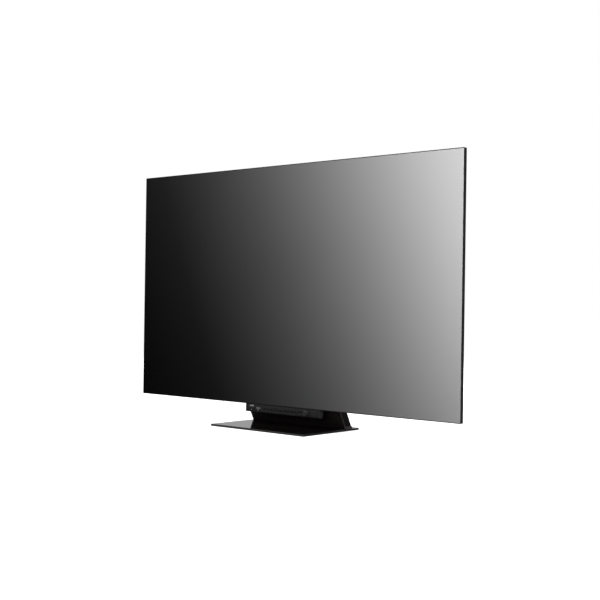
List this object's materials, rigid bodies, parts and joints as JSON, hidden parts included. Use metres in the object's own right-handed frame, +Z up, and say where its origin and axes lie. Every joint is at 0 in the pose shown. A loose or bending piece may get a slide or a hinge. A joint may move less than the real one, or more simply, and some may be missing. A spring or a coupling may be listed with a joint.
{
  "type": "flat panel display",
  "caption": "Large thin flat panel display with a control strip under the screen, on a full-width leaning neck and a rectangular plate base, with a deeper housing behind.",
  "frame": {"origin": "on the floor under the middle of the base plate", "axes": "+X to the viewer's right along the screen, +Y from the screen to the back, +Z up"},
  "size_m": [1.225, 0.249, 0.7702],
  "materials": {
    "screen": "dark screen, satin anti-glare coat",
    "panel_frame": "black anodised, satin",
    "black_plastic": "fine matte grain",
    "strip_grey": "satin charcoal",
    "button_black": "satin",
    "knob": "black anodised, ridged",
    "optical_film": "diffusing film",
    "light_guide": "clear acrylic",
    "circuit_board": "solder mask",
    "electronic_parts": "moulded packages",
    "back_metal": "fine textured black paint",
    "bare_aluminium": "mill finish",
    "bright_steel": "plated",
    "connector_plate": "satin black",
    "base_gloss": "gloss black",
    "neck_metal": "satin black",
    "steel_ribs": "black",
    "rubber_pad": "matte",
    "pale_window": "translucent pale grey",
    "sensor_window": "smoked window",
    "encoder_plastic": "bearing plastic"
  },
  "bodies": {
    "monitor": {"back_plate": "back_metal", "badge_plate": "pale_window", "base_plate": "base_gloss", "bnc_connectors": "bright_steel", "chassis_rails": "bare_aluminium", "connector_plates": "connector_plate", "control_board": "circuit_board", "encoder_body": "black_plastic", "fan_frame_left": "black_plastic", "fan_frame_right": "black_plastic", "foot_pads": "rubber_pad", "hdmi_sockets": "black_plastic", "heat_sink": "bare_aluminium", "housing_screws": "bright_steel", "indicator_window": "pale_window", "led_bars": "circuit_board", "led_packages": "electronic_parts", "light_guide_plate": "light_guide", "main_board": "circuit_board", "mould_frame": "black_plastic", "mount_posts": "bright_steel", "neck_bracket": "bare_aluminium", "neck_cover": "black_plastic", "neck_foot": "neck_metal", "neck_front_plate": "neck_metal", "neck_ribs": "steel_ribs", "network_socket": "bright_steel", "optical_films": "optical_film", "panel_frame": "panel_frame", "power_inlet": "black_plastic", "power_supply_board": "circuit_board", "power_supply_parts": "electronic_parts", "rear_housing": "back_metal", "reflector_sheet": "optical_film", "rocker_frame": "black_plastic", "screen_glass": "screen", "sensor_window": "sensor_window", "source_boards": "circuit_board", "stand_screws": "bright_steel", "strip_body": "black_plastic", "strip_fascia": "strip_grey", "strip_screws": "bright_steel", "tact_switches": "electronic_parts", "timing_board": "circuit_board"},
    "function_button_1": {"function_button_1": "button_black"},
    "function_button_2": {"function_button_2": "button_black"},
    "function_button_3": {"function_button_3": "button_black"},
    "function_button_4": {"function_button_4": "button_black"},
    "function_button_5": {"function_button_5": "button_black"},
    "function_button_6": {"function_button_6": "button_black"},
    "function_button_7": {"function_button_7": "button_black"},
    "function_button_8": {"function_button_8": "button_black"},
    "power_button": {"power_button": "button_black"},
    "input_button": {"input_button": "button_black"},
    "encoder_plunger": {"encoder_plunger": "encoder_plastic"},
    "knob": {"knob": "knob", "knob_shaft": "bright_steel"},
    "rocker": {"rocker": "black_plastic"},
    "fan_rotor_left": {"fan_rotor_left": "black_plastic"},
    "fan_rotor_right": {"fan_rotor_right": "black_plastic"}
  },
  "joints": [
    {"name": "power_button_press", "type": "slide", "parent": "monitor", "child": "power_button", "axis": [0, 1, 0], "range_m": [0, 0.0008], "stiffness_N_per_m": 1500},
    {"name": "input_button_press", "type": "slide", "parent": "monitor", "child": "input_button", "axis": [0, 1, 0], "range_m": [0, 0.0008], "stiffness_N_per_m": 1500},
    {"name": "function_button_1_press", "type": "slide", "parent": "monitor", "child": "function_button_1", "axis": [0, 1, 0], "range_m": [0, 0.0008], "stiffness_N_per_m": 1500},
    {"name": "function_button_2_press", "type": "slide", "parent": "monitor", "child": "function_button_2", "axis": [0, 1, 0], "range_m": [0, 0.0008], "stiffness_N_per_m": 1500},
    {"name": "function_button_3_press", "type": "slide", "parent": "monitor", "child": "function_button_3", "axis": [0, 1, 0], "range_m": [0, 0.0008], "stiffness_N_per_m": 1500},
    {"name": "function_button_4_press", "type": "slide", "parent": "monitor", "child": "function_button_4", "axis": [0, 1, 0], "range_m": [0, 0.0008], "stiffness_N_per_m": 1500},
    {"name": "function_button_5_press", "type": "slide", "parent": "monitor", "child": "function_button_5", "axis": [0, 1, 0], "range_m": [0, 0.0008], "stiffness_N_per_m": 1500},
    {"name": "function_button_6_press", "type": "slide", "parent": "monitor", "child": "function_button_6", "axis": [0, 1, 0], "range_m": [0, 0.0008], "stiffness_N_per_m": 1500},
    {"name": "function_button_7_press", "type": "slide", "parent": "monitor", "child": "function_button_7", "axis": [0, 1, 0], "range_m": [0, 0.0008], "stiffness_N_per_m": 1500},
    {"name": "function_button_8_press", "type": "slide", "parent": "monitor", "child": "function_button_8", "axis": [0, 1, 0], "range_m": [0, 0.0008], "stiffness_N_per_m": 1500},
    {"name": "knob_press", "type": "slide", "parent": "monitor", "child": "encoder_plunger", "axis": [0, 1, 0], "range_m": [0, 0.0007], "stiffness_N_per_m": 3000},
    {"name": "knob_turn", "type": "hinge", "parent": "encoder_plunger", "child": "knob", "pos_m": [0.0977, -0.013, 0.0512], "axis": [0, 1, 0], "continuous": true},
    {"name": "mains_rocker_tip", "type": "hinge", "parent": "monitor", "child": "rocker", "pos_m": [-0.326, 0.051, 0.158], "axis": [-1, 0, 0], "range_deg": [0, 16]},
    {"name": "fan_left_spin", "type": "hinge", "parent": "monitor", "child": "fan_rotor_left", "pos_m": [-0.3, 0.063, 0.488], "axis": [0, 1, 0], "continuous": true},
    {"name": "fan_right_spin", "type": "hinge", "parent": "monitor", "child": "fan_rotor_right", "pos_m": [0.3, 0.063, 0.488], "axis": [0, 1, 0], "continuous": true}
  ]
}
